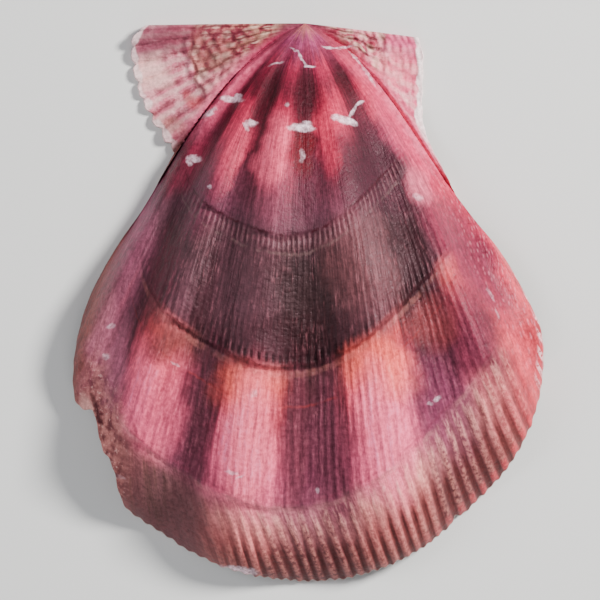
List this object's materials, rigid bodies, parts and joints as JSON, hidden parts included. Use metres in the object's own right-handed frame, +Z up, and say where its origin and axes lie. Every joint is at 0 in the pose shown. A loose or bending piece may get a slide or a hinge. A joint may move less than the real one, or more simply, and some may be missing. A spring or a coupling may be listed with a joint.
{
  "type": "scallop shell valve",
  "caption": "Single left valve of a swift scallop, lying hollow side down, with broad folds, stepped growth stages, ribbed ears and a chipped margin.",
  "frame": {"origin": "under the centre of the shell, on the surface that it rests on", "axes": "+Y towards the hinge, +Z up out of the convex outside, +X towards the smaller back ear"},
  "size_m": [0.0796, 0.0944, 0.0187],
  "materials": {
    "shell": "satin"
  },
  "bodies": {
    "root": {"valve": "shell"}
  },
  "joints": []
}
